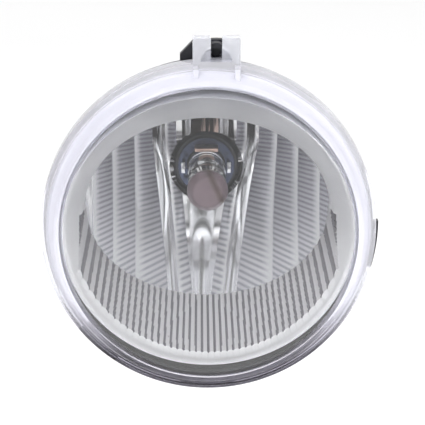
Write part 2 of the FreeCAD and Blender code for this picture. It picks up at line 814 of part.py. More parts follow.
def make_bulb_base():
    """Twist-lock base: stepped shank, three tabs, flange, grips and connector shroud."""
    shank = turned("base_shank", [
        ("0", "shank_front_depth"),
        ("shank_r - 1.2", "shank_front_depth"),
        ("shank_r", "shank_front_depth + 1.2"),
        ("shank_r", "shank_end_depth"),
        ("core_r", "shank_end_depth"),
        ("core_r", "base_flange_depth"),
        ("base_flange_r", "base_flange_depth"),
        ("base_flange_r", "base_flange_depth + base_flange_thick"),
        ("0", "base_flange_depth + base_flange_thick"),
    ], height="bulb_raise")
    tabs = [wedge_ring("tab_%d" % index, "tab_r", "core_r - 0.8", "tab_depth", "tab_thick", angle,
                       "tab_sweep", "bulb_raise") for index, angle in enumerate(TAB_ANGLES)]
    back = "base_flange_depth + base_flange_thick"
    left = "0 - " + half("shroud_width")
    low = "bulb_raise - " + half("shroud_height")
    shroud = box("shroud", "shroud_width", "shroud_length + shroud_floor", "shroud_height",
                 left, back, low)
    socket = box("socket", "shroud_width - shroud_wall - shroud_wall", "shroud_length",
                 "shroud_height - shroud_wall - shroud_wall", left + " + shroud_wall",
                 back + " + shroud_floor", low + " + shroud_wall")
    grips = []
    for side in (-1, 1):
        grip_left = side * (measure("grip_reach") - 1) - measure("grip_thick") / 2
        grips.append(box("grip_%d" % (side + 2), "grip_thick", "grip_length", "grip_tall",
                         "%g" % grip_left, back, "bulb_raise - " + half("grip_tall")))
    latch = box("latch_ramp", "latch_width", "latch_length", "latch_tall",
                "0 - " + half("latch_width"), back + " + shroud_floor + latch_setback",
                low + " + shroud_height")
    blank = fuse("base_blank", shank, shroud, latch, *(tabs + grips))
    return cut("bulb_base", blank, socket, *blade_boxes("blade_slot", "shroud_floor"))


def blade_boxes(name, length):
    """The two contact blades, or the slots for them, at this length."""
    boxes = []
    for side in (-1, 1):
        left = side * measure("blade_spacing") / 2 - measure("blade_width") / 2
        boxes.append(box("%s_%d" % (name, side + 2), "blade_width", length, "blade_thick",
                         "%g" % left, "base_flange_depth + base_flange_thick",
                         "bulb_raise - " + half("blade_thick")))
    return boxes


def make_bulb_oring():
    """Rubber ring between the base flange and the end of the collar."""
    ring = doc.addObject("Part::Torus", "bulb_oring")
    bind(ring, Radius1="oring_ring_r", Radius2="oring_section_r")
    ring.Placement = FreeCAD.Placement(FreeCAD.Vector(), ABOUT_Y)
    return place(ring, "0", "base_flange_depth - oring_section_r", "bulb_raise")


def make_terminals():
    """Two contact blades that stand in the connector shroud."""
    return group("bulb_terminals", blade_boxes("blade", "shroud_floor + blade_reach"))


# ---------------------------------------------------------------- the whole lamp

def build():
    """Makes every sub-part, checks it and writes its STEP file."""
    parts = [make_lens(), make_lens_seal(), make_bezel(), make_reflector(), make_housing(),
             make_screws("bezel_screws", BEZEL_SCREW_ANGLES, "reflector_front - flange_plate", 2),
             make_screws("reflector_screws", REFLECTOR_SCREW_ANGLES, "reflector_front", 1),
             make_pivot_bushing(), make_bulb_glass(), make_bulb_cap(), make_bulb_holder(),
             make_bulb_strap(), make_bulb_base(), make_bulb_oring(), make_terminals()]
    parts += make_filament_and_wires() + make_aim_parts() + make_vent_parts()
    doc.recompute()
    for thing in doc.Objects:
        if "Invalid" in thing.State or "Error" in thing.State:
            raise RuntimeError("failed: " + thing.Name)
    os.makedirs("parts", exist_ok=True)
    for part in parts:
        part.Label = part.Name
        shape = part.Shape
        if shape.isNull() or not shape.isValid() or not shape.Solids:
            raise RuntimeError("bad shape: " + part.Name)
        shape.exportStep("parts/%s.step" % part.Label)
        print(part.Label, "solids", len(shape.Solids), "volume %.1f" % shape.Volume)


build()
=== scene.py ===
"""Looks of the fog light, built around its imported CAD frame.

Named lengths are millimetres, and MM turns them into metres. Depth is counted along +Y from the
tip of the domed lens, and radii from the lamp's own axis or, where BULB is passed, the bulb's.
"""

import math

import bmesh
import bpy
from mathutils import Matrix, Vector


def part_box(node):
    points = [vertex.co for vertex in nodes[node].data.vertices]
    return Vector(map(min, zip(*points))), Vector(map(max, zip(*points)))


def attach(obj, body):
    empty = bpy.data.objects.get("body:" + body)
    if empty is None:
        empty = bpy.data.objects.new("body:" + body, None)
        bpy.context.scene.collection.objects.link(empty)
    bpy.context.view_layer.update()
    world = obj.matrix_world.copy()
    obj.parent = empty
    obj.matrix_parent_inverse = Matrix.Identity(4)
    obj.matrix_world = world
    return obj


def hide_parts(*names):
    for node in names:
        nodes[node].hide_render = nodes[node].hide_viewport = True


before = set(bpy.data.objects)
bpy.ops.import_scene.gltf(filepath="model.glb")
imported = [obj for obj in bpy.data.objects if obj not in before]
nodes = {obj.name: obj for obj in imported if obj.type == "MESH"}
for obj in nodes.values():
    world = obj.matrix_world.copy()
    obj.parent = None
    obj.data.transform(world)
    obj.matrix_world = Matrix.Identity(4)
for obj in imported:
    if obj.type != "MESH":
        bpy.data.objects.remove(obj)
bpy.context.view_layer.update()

MM = 0.001
ON_AXIS = 1e-6
# metres within which two points are one
WELD_REACH = 1e-7
FLUTE_WELD_REACH = 1e-6


def centre_of(node):
    """Middle of a CAD node's box."""
    low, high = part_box(node)
    return (low + high) / 2


LENS_LOW, LENS_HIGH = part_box("lens")
FRONT = LENS_LOW.y
AXIS = centre_of("lens_seal")
BULB = centre_of("bulb_cap")
AIM = centre_of("aim_screw")
GUIDE_X = AIM.x / MM
BULB_HEIGHT = (BULB.z - AXIS.z) / MM


def at(x, depth, height, axis=AXIS):
    """A point from side offset, depth and height off an axis, in millimetres."""
    return Vector((axis.x + x * MM, FRONT + depth * MM, axis.z + height * MM))


# ---------------------------------------------------------------- mesh helpers

def new_object(name, mesh, material):
    """Links a mesh as an object with one material."""
    thing = bpy.data.objects.new(name, mesh)
    bpy.context.scene.collection.objects.link(thing)
    if material:
        mesh.materials.append(material)
    return thing


def mesh_from(name, points, faces, material):
    """A smoothly shaded object from points and faces."""
    mesh = bpy.data.meshes.new(name)
    mesh.from_pydata([tuple(p) for p in points], [], faces)
    mesh.update()
    for polygon in mesh.polygons:
        polygon.use_smooth = True
    return new_object(name, mesh, material)


def apply_modifiers(thing):
    """Replaces the mesh by what its modifiers make of it."""
    graph = bpy.context.evaluated_depsgraph_get()
    mesh = bpy.data.meshes.new_from_object(thing.evaluated_get(graph))
    thing.modifiers.clear()
    thing.data = mesh
    return thing


def shade_by_angle(thing, degrees=35.0):
    """Smooth shading that keeps edges sharper than this angle."""
    mesh = thing.data
    for polygon in mesh.polygons:
        polygon.use_smooth = True
    work = bmesh.new()
    work.from_mesh(mesh)
    for edge in work.edges:
        sharp = len(edge.link_faces) == 2 and edge.calc_face_angle(0.0) > math.radians(degrees)
        edge.smooth = not sharp
    work.to_mesh(mesh)
    work.free()
    return thing


# an arc takes up no more than this share of the line beside it
LARGEST_SHARE = 0.45


def rounded(corners, radius, steps=4):
    """The outline with its inner corners rounded by short arcs of this radius."""
    result = [corners[0]]
    for before, corner, after in zip(corners, corners[1:], corners[2:]):
        spot = Vector(corner)
        back = Vector(before) - spot
        ahead = Vector(after) - spot
        reach = min(radius, back.length * LARGEST_SHARE,
                    ahead.length * LARGEST_SHARE)
        start = spot + back.normalized() * reach
        end = spot + ahead.normalized() * reach
        for step in range(steps + 1):
            share = step / steps
            first = start.lerp(spot, share)
            second = spot.lerp(end, share)
            result.append(tuple(first.lerp(second, share)))
    result.append(corners[-1])
    return result


def turned(name, outline, material, axis=AXIS, segments=192):
    """A closed solid turned about Y from (radius, depth) corners; radius 0 closes on the axis."""
    points = []
    faces = []
    rings = []
    for radius, depth in outline:
        if radius < ON_AXIS:
            rings.append([len(points)])
            points.append(at(0, depth, 0, axis))
            continue
        ring = []
        for step in range(segments):
            angle = 2 * math.pi * step / segments
            ring.append(len(points))
            points.append(at(radius * math.cos(angle), depth, radius * math.sin(angle), axis))
        rings.append(ring)
    pairs = list(zip(rings, rings[1:]))
    if len(rings[0]) > 1 or len(rings[-1]) > 1:
        pairs.append((rings[-1], rings[0]))
    for one, two in pairs:
        if len(one) == 1 and len(two) == 1:
            continue
        for step in range(segments):
            after = (step + 1) % segments
            if len(one) == 1:
                faces.append((one[0], two[after], two[step]))
            elif len(two) == 1:
                faces.append((one[step], one[after], two[0]))
            else:
                faces.append((one[step], one[after], two[after], two[step]))
    return tidy_normals(mesh_from(name, points, faces, material))


def tidy_normals(thing):
    """Welds points that fall together and turns every face outwards."""
    work = bmesh.new()
    work.from_mesh(thing.data)
    bmesh.ops.remove_doubles(work, verts=work.verts, dist=WELD_REACH)
    bmesh.ops.recalc_face_normals(work, faces=work.faces)
    work.to_mesh(thing.data)
    work.free()
    return thing


def block(name, low, high, material, bevel=0.0, segments=3, axis=AXIS):
    """A box between two corners (side, depth, height), with rounded edges."""
    first = at(*low, axis)
    last = at(*high, axis)
    work = bmesh.new()
    bmesh.ops.create_cube(work, size=1.0)
    size = last - first
    bmesh.ops.scale(work, vec=size, verts=work.verts)
    bmesh.ops.translate(work, vec=(first + last) / 2, verts=work.verts)
    if bevel:
        bmesh.ops.bevel(work, geom=work.edges[:], offset=bevel * MM, segments=segments,
                        profile=0.5, affect="EDGES")
    mesh = bpy.data.meshes.new(name)
    work.to_mesh(mesh)
    work.free()
    return new_object(name, mesh, material)


def rod(name, radius, start, end, material, side, height):
    """A plain bar along Y between two depths, used as a tool for cuts."""
    work = bmesh.new()
    bmesh.ops.create_cone(work, cap_ends=True, segments=48, radius1=radius * MM,
                          radius2=radius * MM, depth=abs(end - start) * MM)
    bmesh.ops.rotate(work, verts=work.verts, matrix=Matrix.Rotation(math.pi / 2, 3, "X"))
    bmesh.ops.translate(work, verts=work.verts, vec=at(side, (start + end) / 2, height))
    mesh = bpy.data.meshes.new(name)
    work.to_mesh(mesh)
    work.free()
    return new_object(name, mesh, material)


def combine(thing, other, operation):
    """Joins or cuts one closed mesh with another, which is used up."""
    step = thing.modifiers.new("combine", "BOOLEAN")
    step.operation = operation
    step.solver = "EXACT"
    step.object = other
    bpy.context.view_layer.update()
    apply_modifiers(thing)
    bpy.data.objects.remove(other)
    return thing


def join(name, pieces):
    """Several meshes as one object."""
    work = bmesh.new()
    materials = []
    for piece in pieces:
        start = len(work.faces)
        work.from_mesh(piece.data)
        work.faces.ensure_lookup_table()
        for face in work.faces[start:]:
            own = piece.data.materials[face.material_index]
            if own not in materials:
                materials.append(own)
            face.material_index = materials.index(own)
    mesh = bpy.data.meshes.new(name)
    work.to_mesh(mesh)
    work.free()
    for material in materials:
        mesh.materials.append(material)
    for piece in pieces:
        bpy.data.objects.remove(piece)
    return new_object(name, mesh, None)


def tube(name, path, radius, material, resolution):
    """A round wire along a path of points."""
    curve = bpy.data.curves.new(name, "CURVE")
    curve.dimensions = "3D"
    curve.bevel_depth = radius * MM
    curve.bevel_resolution = resolution
    curve.use_fill_caps = True
    spline = curve.splines.new("POLY")
    spline.points.add(len(path) - 1)
    for point, place in zip(spline.points, path):
        point.co = (*place, 1.0)
    thing = new_object(name, curve, None)
    graph = bpy.context.evaluated_depsgraph_get()
    mesh = bpy.data.meshes.new_from_object(thing.evaluated_get(graph))
    bpy.data.objects.remove(thing)
    mesh.materials.clear()
    for polygon in mesh.polygons:
        polygon.use_smooth = True
    return new_object(name, mesh, material)


def finish_piece(thing, body, slot, *replaced):
    """Rides a piece on its body and hides the CAD nodes it stands for."""
    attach(thing, body)
    if replaced:
        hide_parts(*replaced)
    return thing


# ---------------------------------------------------------------- materials

WHITE = (1.0, 1.0, 1.0)
NO_COLOUR = (0.0, 0.0, 0.0)


class Paint:
    """A procedural material: its shader, and the node chains that the materials share."""

    def __init__(self, name, colour, roughness, metallic=0.0):
        self.material = bpy.data.materials.new(name)
        self.material.use_nodes = True
        self.tree = self.material.node_tree
        self.shader = self.tree.nodes["Principled BSDF"]
        self.shader.inputs["Base Color"].default_value = (*colour, 1.0)
        self.shader.inputs["Roughness"].default_value = roughness
        self.shader.inputs["Metallic"].default_value = metallic
        self.place = self.tree.nodes.new("ShaderNodeTexCoord")

    def set(self, **numbers):
        """Uniform values on the shader's own sockets."""
        for name, value in numbers.items():
            self.shader.inputs[name.replace("_", " ")].default_value = value

    def noise(self, size, detail=3.0, stretch=(1, 1, 1)):
        """Noise with features of this size in millimetres."""
        mapping = self.tree.nodes.new("ShaderNodeMapping")
        mapping.inputs["Scale"].default_value = stretch
        self.tree.links.new(self.place.outputs["Object"], mapping.inputs["Vector"])
        noise = self.tree.nodes.new("ShaderNodeTexNoise")
        noise.inputs["Scale"].default_value = 1.0 / (size * MM)
        noise.inputs["Detail"].default_value = detail
        self.tree.links.new(mapping.outputs["Vector"], noise.inputs["Vector"])
        return noise.outputs["Fac"]

    def ramp(self, value, low, high, start=0.3, end=0.7):
        """A colour ramp between two colours."""
        ramp = self.tree.nodes.new("ShaderNodeValToRGB")
        ramp.color_ramp.elements[0].position = start
        ramp.color_ramp.elements[1].position = end
        ramp.color_ramp.elements[0].color = (*low, 1.0)
        ramp.color_ramp.elements[1].color = (*high, 1.0)
        self.tree.links.new(value, ramp.inputs["Fac"])
        return ramp.outputs["Color"]

    def spread(self, value, start=0.0, end=1.0, low=0.0, high=1.0):
        """A value whose span from start to end is stretched from low to high."""
        spread = self.tree.nodes.new("ShaderNodeMapRange")
        spread.inputs["From Min"].default_value = start
        spread.inputs["From Max"].default_value = end
        spread.inputs["To Min"].default_value = low
        spread.inputs["To Max"].default_value = high
        self.tree.links.new(value, spread.inputs["Value"])
        return spread.outputs["Result"]

    def coordinate(self, space, letter):
        """One coordinate of the point that is being shaded."""
        parts = self.tree.nodes.new("ShaderNodeSeparateXYZ")
        self.tree.links.new(self.place.outputs[space], parts.inputs["Vector"])
        return parts.outputs[letter]

    def height(self, low, high):
        """How far up the lamp a point lies, 0 at one height off the axis and 1 at the other."""
        return self.spread(self.coordinate("Object", "Z"), AXIS.z + low * MM, AXIS.z + high * MM)

    def mix(self, share, first, second, kind="MIX"):
        """One colour over another; either may be a link or plain numbers."""
        mix = self.tree.nodes.new("ShaderNodeMixRGB")
        mix.blend_type = kind
        for socket, value in (("Fac", share), ("Color1", first), ("Color2", second)):
            if isinstance(value, bpy.types.NodeSocket):
                self.tree.links.new(value, mix.inputs[socket])
            elif socket == "Fac":
                mix.inputs[socket].default_value = value
            else:
                mix.inputs[socket].default_value = (*value, 1.0)
        return mix.outputs["Color"]

    def multiply(self, first, second):
        """The product of two colours."""
        return self.mix(1.0, first, second, "MULTIPLY")

    def colour(self, value):
        """Base colour from a link."""
        self.tree.links.new(value, self.shader.inputs["Base Color"])

    def vary_colour(self, value, low, high):
        """Base colour that drifts between two colours."""
        self.colour(self.ramp(value, low, high))

    def vary_roughness(self, value, low, high):
        """Roughness that drifts between two values."""
        drift = self.spread(value, low=low, high=high)
        self.tree.links.new(drift, self.shader.inputs["Roughness"])

    def bump(self, value, height):
        """Relief of this height in millimetres."""
        bump = self.tree.nodes.new("ShaderNodeBump")
        bump.inputs["Distance"].default_value = height * MM
        bump.inputs["Strength"].default_value = 1.0
        self.tree.links.new(value, bump.inputs["Height"])
        self.tree.links.new(bump.outputs["Normal"], self.shader.inputs["Normal"])


def clear_plastic(name, tint, ripple):
    """Clear plastic or glass with a faint moulding ripple."""
    paint = Paint(name, tint, roughness=0.0)
    paint.set(Transmission_Weight=1.0, IOR=1.49)
    paint.bump(paint.noise(size=9.0, detail=1.0), height=ripple)
    paint.vary_roughness(paint.noise(size=3.0), low=0.0, high=0.015)
    return paint.material


def skirt_plastic(name, painted_shade_colour, upper_colour, high_clear, bend, roughness):
    """Lens plastic, clearer low on the lamp and milky above, with painted shade making its colour
    darker low down.
    """
    paint = Paint(name, upper_colour, roughness)
    paint.set(IOR=bend, Coat_Weight=0.2, Coat_Roughness=0.05)
    # painted shade: the colour runs from the dark colour at the bottom of the lens to the paler
    # upper colour above
    up = paint.height(low=-39.0, high=-20.0)
    paint.colour(paint.mix(up, painted_shade_colour, upper_colour))
    clear = paint.spread(up, low=0.97, high=high_clear)
    paint.tree.links.new(clear, paint.shader.inputs["Transmission Weight"])
    paint.bump(paint.noise(size=0.8), height=0.003)
    paint.vary_roughness(paint.noise(size=2.0), low=roughness * 0.7, high=roughness * 1.4)
    return paint.material


def satin(name, side, top, roughness):
    """Satin metallising of the bezel, with painted shade making the roof, which turns downwards, a
    little darker.
    """
    paint = Paint(name, side, roughness, metallic=0.4)
    # painted shade: the colour runs from the bright side colour to a darker top colour higher up
    # the bezel
    paint.colour(paint.mix(paint.height(low=16.0, high=36.0), side, top))
    paint.vary_roughness(paint.noise(size=2.5), low=roughness * 0.8, high=roughness * 1.2)
    paint.bump(paint.noise(size=0.3), height=0.004)
    return paint.material


def metallised(name, colour, roughness, grain, relief, metallic=1.0):
    """A plain metal coat, mirror bright or satin, with a fine grain."""
    paint = Paint(name, colour, roughness, metallic)
    paint.vary_roughness(paint.noise(size=2.5), low=roughness * 0.7, high=roughness * 1.3)
    paint.bump(paint.noise(grain), relief)
    return paint.material


def bright_flute(name):
    """Mirror-bright bowl face with dark upright bands of painted reflection towards its roof."""
    mirror = (0.97, 0.97, 0.975)
    upright = (1.0, 0.05, 0.05)
    paint = Paint(name, mirror, roughness=0.1, metallic=0.88)
    # painted reflection: dark upright bands across the roof of the bowl
    painted_reflections = paint.ramp(paint.noise(size=1.4, detail=2.0, stretch=upright),
                         low=(0.02, 0.016, 0.02), high=(0.93, 0.92, 0.92), start=0.49, end=0.54)
    roof = paint.ramp(paint.height(low=10.0, high=16.0), NO_COLOUR, WHITE, start=0.0, end=1.0)
    paint.colour(paint.mix(roof, mirror, painted_reflections))
    paint.vary_roughness(paint.noise(size=3.0), low=0.07, high=0.13)
    paint.bump(paint.noise(size=2.0, detail=2.0), height=0.002)
    return paint.material


# length of one band of a wave texture at scale 1
WAVE_LENGTH = math.pi / 10


def rippled_flute(name, dark, light, roughness):
    """Bowl face with fine ripples across each flute, their light and shade painted as well as
    bumped, near white at its outer edge, with painted shade towards the top.
    """
    paint = Paint(name, light, roughness, metallic=0.6)
    wave = paint.tree.nodes.new("ShaderNodeTexWave")
    wave.bands_direction = "Y"
    wave.inputs["Scale"].default_value = WAVE_LENGTH
    wave.inputs["Distortion"].default_value = 1.1
    wave.inputs["Detail"].default_value = 1.0
    wave.inputs["Detail Scale"].default_value = 0.8
    paint.tree.links.new(paint.place.outputs["UV"], wave.inputs["Vector"])
    ripples = wave.outputs["Fac"]
    across = paint.coordinate("UV", "X")
    # painted light and shade of the ripples: dark and light bands that follow the bumped ripples
    ripple_light_and_shade = paint.ramp(ripples, dark, light, start=0.1, end=0.75)
    # painted shade: the face darkens higher up the bowl
    painted_shade_high = paint.ramp(paint.height(low=-18.0, high=24.0), WHITE, (0.44, 0.43, 0.47),
                      start=0.0, end=1.0)
    # painted shade: each flute darkens from its outer edge towards its inner edge
    shaded = paint.ramp(across, WHITE, (0.80, 0.80, 0.83), start=0.1, end=1.0)
    face = paint.multiply(ripple_light_and_shade, paint.multiply(painted_shade_high, shaded))
    inner = paint.ramp(across, NO_COLOUR, WHITE, start=0.08, end=0.34)
    paint.colour(paint.mix(inner, (0.95, 0.95, 0.96), face))
    paint.vary_roughness(paint.noise(size=3.0), low=roughness * 0.8, high=roughness * 1.2)
    paint.bump(ripples, height=0.014)
    return paint.material


def moulded(name, dark, light, roughness, grain=0.35, relief=0.012):
    """Moulded plastic or rubber with a fine grain and slight mottling."""
    paint = Paint(name, dark, roughness)
    paint.vary_colour(paint.noise(size=6.0), dark, light)
    paint.vary_roughness(paint.noise(size=1.5), low=roughness * 0.85, high=roughness * 1.2)
    paint.bump(paint.noise(grain, detail=5.0), relief)
    paint.set(Specular_IOR_Level=0.35)
    return paint.material


def worn_metal(name, dark, light, roughness, stretch=(1, 1, 1)):
    """Plated or bare metal with drawn marks."""
    paint = Paint(name, light, roughness, metallic=1.0)
    paint.vary_colour(paint.noise(1.2, 4.0, stretch), dark, light)
    paint.vary_roughness(paint.noise(0.6, 4.0, stretch), roughness * 0.7, roughness * 1.4)
    paint.bump(paint.noise(0.25, 3.0, stretch), height=0.004)
    return paint.material


# a darker slanted band of painted reflection across the bulb cap's coating
REFLECTION_ACROSS = (0.909, 0.0, 0.417)
REFLECTION_OFFSET = 2.8
REFLECTION_WIDTH = 2.6
PAINTED_REFLECTION_COLOUR = (0.060, 0.030, 0.022)
COAT_COLOUR = (0.175, 0.125, 0.145)


def capped(name):
    """Dark purple-brown bulb coating, crossed by one darker slanted band of painted reflection."""
    paint = Paint(name, (0.19, 0.13, 0.15), roughness=0.38)
    slant = paint.tree.nodes.new("ShaderNodeVectorMath")
    slant.operation = "DOT_PRODUCT"
    slant.inputs[1].default_value = REFLECTION_ACROSS
    paint.tree.links.new(paint.place.outputs["Object"], slant.inputs[0])
    middle = BULB.dot(Vector(REFLECTION_ACROSS)) + REFLECTION_OFFSET * MM
    across = paint.spread(slant.outputs["Value"], middle - REFLECTION_WIDTH * MM,
                          middle + REFLECTION_WIDTH * MM)
    ramp = paint.tree.nodes.new("ShaderNodeValToRGB")
    stops = ramp.color_ramp.elements
    stops[0].position = 0.25
    stops[0].color = (*COAT_COLOUR, 1.0)
    stops[1].position = 0.75
    stops[1].color = (*COAT_COLOUR, 1.0)
    # painted reflection: a darker band in the middle of the ramp
    painted_reflection = stops.new(0.5)
    painted_reflection.color = (*PAINTED_REFLECTION_COLOUR, 1.0)
    paint.tree.links.new(across, ramp.inputs["Fac"])
    speck = paint.ramp(paint.noise(size=1.5), (0.85, 0.85, 0.85), WHITE)
    paint.colour(paint.multiply(ramp.outputs["Color"], speck))
    paint.bump(paint.noise(size=0.4, detail=4.0), height=0.006)
    return paint.material


FACE = clear_plastic("clear_polycarbonate", (0.985, 0.99, 0.995), 0.004)
# the first colour of each lens plastic is painted shade, low on the lens
RING = skirt_plastic("ring_polycarbonate", (0.44, 0.42, 0.49), (0.68, 0.68, 0.75), 0.5, 1.08, 0.12)
SKIRT = skirt_plastic("skirt_polycarbonate", (0.44, 0.42, 0.49), (0.88, 0.88, 0.92), 0.72, 1.08,
                      0.07)
GUIDE = skirt_plastic("guide_polycarbonate", (0.84, 0.85, 0.90), (0.86, 0.87, 0.92), 0.72, 1.4,
                      0.05)
BULB_GLASS = clear_plastic("hard_glass", (0.97, 0.975, 0.985), 0.002)
CHROME = metallised("mirror_metallising", (0.90, 0.90, 0.915), 0.05, 1.6, 0.002)
FLUTE = bright_flute("bright_flute_metallising")
RIPPLED = rippled_flute("rippled_flute_metallising", (0.52, 0.52, 0.57), (0.97, 0.97, 0.98), 0.22)
# the second colour is painted shade on the bezel's downturned roof
SATIN = satin("satin_metallising", (0.97, 0.97, 0.98), (0.56, 0.56, 0.585), 0.36)
RIB = metallised("satin_rib", (0.70, 0.69, 0.71), 0.32, 0.3, 0.004, 0.5)
# painted shade: the grooves between the bezel's ribs get a far darker colour than the ribs
PAINTED_GROOVE_SHADE = metallised("satin_groove_painted_shade", (0.20, 0.19, 0.22), 0.5, 0.3, 0.004, 0.6)
BLUED = metallised("blued_spring_steel", (0.05, 0.06, 0.10), 0.22, 0.4, 0.004)
BLACK = moulded("black_moulding", (0.010, 0.010, 0.013), (0.020, 0.020, 0.025), 0.42)
BASE_BLACK = moulded("bulb_base_moulding", (0.008, 0.009, 0.018), (0.014, 0.016, 0.032), 0.22)
RUBBER = moulded("black_rubber", (0.012, 0.012, 0.012), (0.03, 0.03, 0.03), 0.7, 0.5, 0.02)
SEALANT = moulded("grey_sealant", (0.22, 0.22, 0.23), (0.34, 0.34, 0.36), 0.65, 0.8, 0.03)
NYLON = moulded("white_nylon", (0.74, 0.73, 0.68), (0.86, 0.85, 0.81), 0.4)
STEEL = worn_metal("zinc_plated_steel", (0.50, 0.50, 0.52), (0.74, 0.74, 0.76), 0.28)
BRASS = worn_metal("tinned_brass", (0.55, 0.44, 0.24), (0.80, 0.68, 0.42), 0.25, (1, 0.2, 1))
COPPER = worn_metal("copper_strip", (0.44, 0.30, 0.26), (0.74, 0.56, 0.48), 0.32, (0.3, 1, 1))
TUNGSTEN = worn_metal("tungsten_wire", (0.22, 0.21, 0.20), (0.42, 0.41, 0.40), 0.35)
MEMBRANE = moulded("vent_membrane_weave", (0.70, 0.70, 0.68), (0.86, 0.86, 0.84), 0.9, 0.2, 0.03)
CAP = capped("bulb_cap_coating")


# ---------------------------------------------------------------- lens

LENS_OUTER = [(0, 0), (43.0, 4.9), (44.1, 6.0), (45.6, 9.2), (46.5, 9.2), (46.5, 11.8),
              (48.0, 11.8), (48.0, 18.4)]
LENS_INNER = [(45.4, 18.4), (44.2, 12.4), (42.7, 8.2), (41.9, 7.1), (0, 2.4)]
# radii where the face turns into the ring, the ring into the skirt and the skirt into the guide
FACE_EDGE_R = 41.3
RING_EDGE_R = 46.2
SKIRT_TOP_R = 48.15
GUIDE_FRONT = 11.8
GUIDE_BACK = 18.2
GUIDE_HALF = 6.75
GUIDE_FOOT = 46.6
GUIDE_TOP = (LENS_HIGH.z - AXIS.z) / MM
ARCH_R = 4.4
ARCH_LENGTH = 3.4
ARCH_CENTRE = 48.2
ARCH_FLOOR = 48.3
SLOT_HALF = 1.6
RAIL_ASIDE = 5.9
RAIL_HALF = 0.85
RAIL_FRONT = 7.2
RAIL_BACK = 12.2
RAIL_FOOT = 43.6
RAIL_TOP = 47.3


def domed(outline, index, count=14):
    """The outline with its long face line bent to the dome's round section."""
    (r0, d0), (r1, d1) = outline[index], outline[index + 1]
    bent = []
    for step in range(count + 1):
        radius = r0 + (r1 - r0) * step / count
        share = radius / max(r0, r1)
        bent.append((radius, min(d0, d1) + abs(d1 - d0) * share ** 2))
    return outline[:index] + bent + outline[index + 2:]


def make_guide():
    """Block with a shallow arch in its front and an open slot through it, on top of the lens."""
    guide = block("guide", (GUIDE_X - GUIDE_HALF, GUIDE_FRONT, GUIDE_FOOT),
                  (GUIDE_X + GUIDE_HALF, GUIDE_BACK, GUIDE_TOP), SKIRT, bevel=0.35)
    arch = rod("arch", ARCH_R, GUIDE_FRONT - 1, GUIDE_FRONT + ARCH_LENGTH, SKIRT, GUIDE_X,
               ARCH_CENTRE)
    below = block("below_arch", (GUIDE_X - 6, GUIDE_FRONT - 2, 43.0),
                  (GUIDE_X + 6, GUIDE_FRONT + 5, ARCH_FLOOR), SKIRT)
    arch = combine(arch, below, "DIFFERENCE")
    guide = combine(guide, arch, "DIFFERENCE")
    slot = block("slot", (GUIDE_X - SLOT_HALF, GUIDE_FRONT - 1, ARCH_FLOOR),
                 (GUIDE_X + SLOT_HALF, GUIDE_BACK + 1, GUIDE_TOP + 1), SKIRT)
    return combine(guide, slot, "DIFFERENCE")


def make_lens():
    """Domed lens with stepped rim, rails and the slotted tool guide, as one clear moulding."""
    outer = domed(rounded(LENS_OUTER, 0.45), 0)
    inner = rounded(LENS_INNER, 0.5)
    inner = domed(inner, len(inner) - 2)
    lens = turned("lens_moulding", outer + inner, FACE, segments=256)
    for material in (RING, SKIRT, GUIDE):
        lens.data.materials.append(material)
    lens = combine(lens, make_guide(), "UNION")
    for side in (-1, 1):
        middle = GUIDE_X + side * RAIL_ASIDE
        rail = block("rail", (middle - RAIL_HALF, RAIL_FRONT, RAIL_FOOT),
                     (middle + RAIL_HALF, RAIL_BACK, RAIL_TOP), SKIRT, bevel=0.3)
        lens = combine(lens, rail, "UNION")
    edges = (FACE_EDGE_R, RING_EDGE_R, SKIRT_TOP_R)
    for polygon in lens.data.polygons:
        spot = polygon.center
        reach = math.hypot(spot.x - AXIS.x, spot.z - AXIS.z) / MM
        polygon.material_index = sum(reach > edge for edge in edges)
    shade_by_angle(lens, 28)
    return finish_piece(lens, "lamp", "clear_lens", "lens")


# ---------------------------------------------------------------- bezel

# depth, half width and half height of the funnel's rings
BEZEL_INNER = [(7.7, 41.55, 38.85), (8.3, 41.05, 38.5), (10.0, 40.4, 38.35), (13.2, 39.7, 38.3)]
BEZEL_OUTER_LIP = (8.2, 41.95, 39.3)
WAIST = BEZEL_INNER[-1]
MOUTH = (36.0, 35.9, 26.9)
BEZEL_WALL = 1.6
RIB_PITCH = 1.72
RIB_FAN = 0.055
RIB_HEIGHT = 0.6
RIB_REACH = 37.2
RIB_TOP = math.sin(math.radians(4.0))
RIB_START = 0.035
RIB_FADE = 0.06
GROOVE_CROWN = 0.78
DEPTH_STEPS = 22
LOWER_STEPS = 660
UPPER_STEPS = 130


def bezel_angles():
    """Angles round the bezel, close together over its ribbed lower half."""
    lower = [math.pi * (step / LOWER_STEPS - 1) for step in range(LOWER_STEPS)]
    upper = [math.pi * step / UPPER_STEPS for step in range(UPPER_STEPS)]
    return lower + upper


def bezel_rings():
    """Depth, half width, half height and share of the way from waist to mouth, ring by ring."""
    rings = [(*ring, 0.0) for ring in BEZEL_INNER]
    for step in range(1, DEPTH_STEPS + 1):
        share = step / DEPTH_STEPS
        rings.append((*[a + (b - a) * share for a, b in zip(WAIST, MOUTH)], share))
    for depth, wide, tall in (MOUTH, WAIST):
        rings.append((depth, wide + BEZEL_WALL, tall + BEZEL_WALL, 0.0))
    rings.append((*BEZEL_OUTER_LIP, 0.0))
    return rings


def rib_crown(side, share):
    """Round section of an upright rib: 1 on its crest and 0 in the groove beside it."""
    across = side / (RIB_PITCH * (1 + RIB_FAN * (1 - share)))
    phase = (across % 1.0) * 2 - 1
    return math.sqrt(max(0.0, 1 - phase * phase))


def rib_rise(angle, side, share):
    """Height of the ribs at this angle and this share of the way from waist to mouth."""
    if share <= 0 or math.sin(angle) > RIB_TOP or abs(side) > RIB_REACH:
        return 0.0
    ends = min(1.0, share / RIB_START)
    fade = min(1.0, (RIB_TOP - math.sin(angle)) / RIB_FADE)
    return RIB_HEIGHT * rib_crown(side, share) * ends * fade


